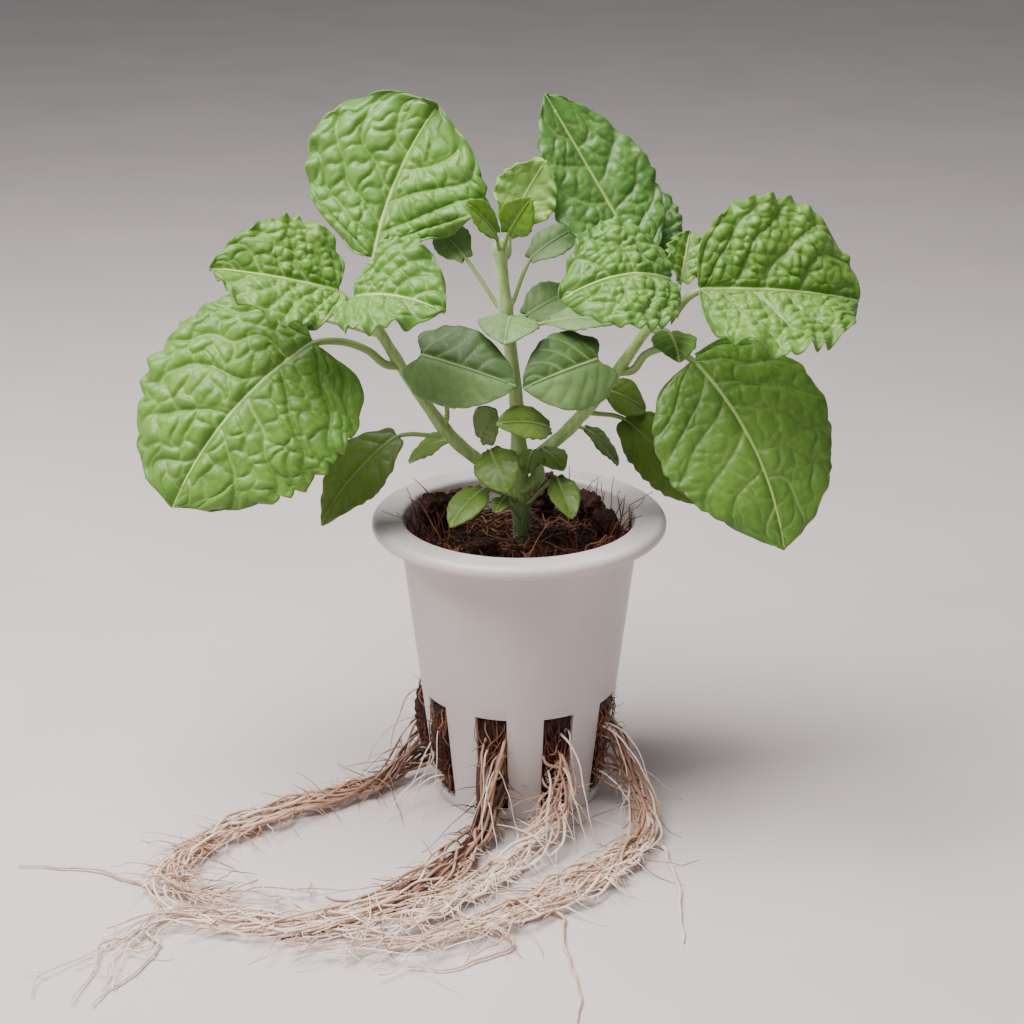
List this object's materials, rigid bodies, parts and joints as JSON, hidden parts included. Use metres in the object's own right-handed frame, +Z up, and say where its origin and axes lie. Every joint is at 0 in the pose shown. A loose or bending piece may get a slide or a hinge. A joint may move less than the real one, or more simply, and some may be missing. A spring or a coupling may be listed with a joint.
{
  "type": "potted basil plant",
  "caption": "Young basil plant with blistered green leaves, rooted in coir in a white slotted net pot, with bare roots trailing over the surface from the slots.",
  "frame": {"origin": "centre of the pot's base, on the surface it stands on", "axes": "+Z up, -Y towards the front, +X to the plant's right as seen from the front"},
  "size_m": [0.1667, 0.122, 0.1437],
  "materials": {
    "pot": "satin moulded polypropylene",
    "coir": "damp coconut coir",
    "husk": "cut coconut husk",
    "stem": "fresh green stem, finely hairy",
    "leaf_shoot": "blistered fresh leaf, satin",
    "leaf_young": "young leaf, satin",
    "leaf_low": "smooth mature leaf, satin",
    "root": "bare roots, matt"
  },
  "bodies": {
    "root": {"net_pot": "pot", "coir_plug": "coir", "husk_chip_left": "husk", "husk_chip_back_left": "husk", "husk_chip_tall": "husk", "husk_chip_back_right": "husk", "husk_chip_right": "husk", "husk_chip_front": "husk", "coir_tuft_left": "coir", "coir_tuft_front_left": "coir", "main_stem": "stem", "left_branch": "stem", "right_branch": "stem", "left_big_drooping_leaf": "leaf_shoot", "left_upper_back_leaf": "leaf_shoot", "left_crinkled_outer_leaf": "leaf_shoot", "left_crinkled_inner_leaf": "leaf_shoot", "left_shaded_back_leaf": "leaf_shoot", "left_low_outer_leaf": "leaf_low", "left_low_narrow_leaf": "leaf_low", "left_inner_facing_leaf": "leaf_low", "right_big_outer_leaf": "leaf_shoot", "right_crinkled_inner_leaf": "leaf_shoot", "right_tall_back_leaf": "leaf_shoot", "right_small_back_leaf": "leaf_shoot", "right_big_drooping_leaf": "leaf_shoot", "right_under_leaf": "leaf_shoot", "right_young_leaf": "leaf_young", "right_low_outer_leaf": "leaf_low", "right_low_upper_leaf": "leaf_low", "right_low_narrow_leaf": "leaf_low", "right_inner_facing_leaf": "leaf_low", "centre_top_leaf": "leaf_young", "centre_bright_left_leaf": "leaf_young", "centre_bright_right_leaf": "leaf_young", "centre_left_stalked_leaf": "leaf_low", "centre_right_stalked_leaf": "leaf_low", "centre_front_leaf": "leaf_low", "centre_back_leaf": "leaf_low", "centre_side_leaf": "leaf_low", "left_axil_upright_leaf": "leaf_low", "left_axil_drooping_leaf": "leaf_low", "right_axil_leaf": "leaf_low", "base_leaf_left": "leaf_low", "base_leaf_right": "leaf_low", "base_leaf_drooping_left": "leaf_low", "base_leaf_drooping_right": "leaf_low", "base_leaf_curled": "leaf_low", "root_bundle_left": "root", "root_bundle_front_left": "root", "root_bundle_front_right": "root", "root_bundle_right": "root", "root_strand_right": "root", "root_strand_front": "root", "root_strand_front_left": "root", "root_strand_left_tip": "root", "root_strand_far_left": "root"}
  },
  "joints": []
}
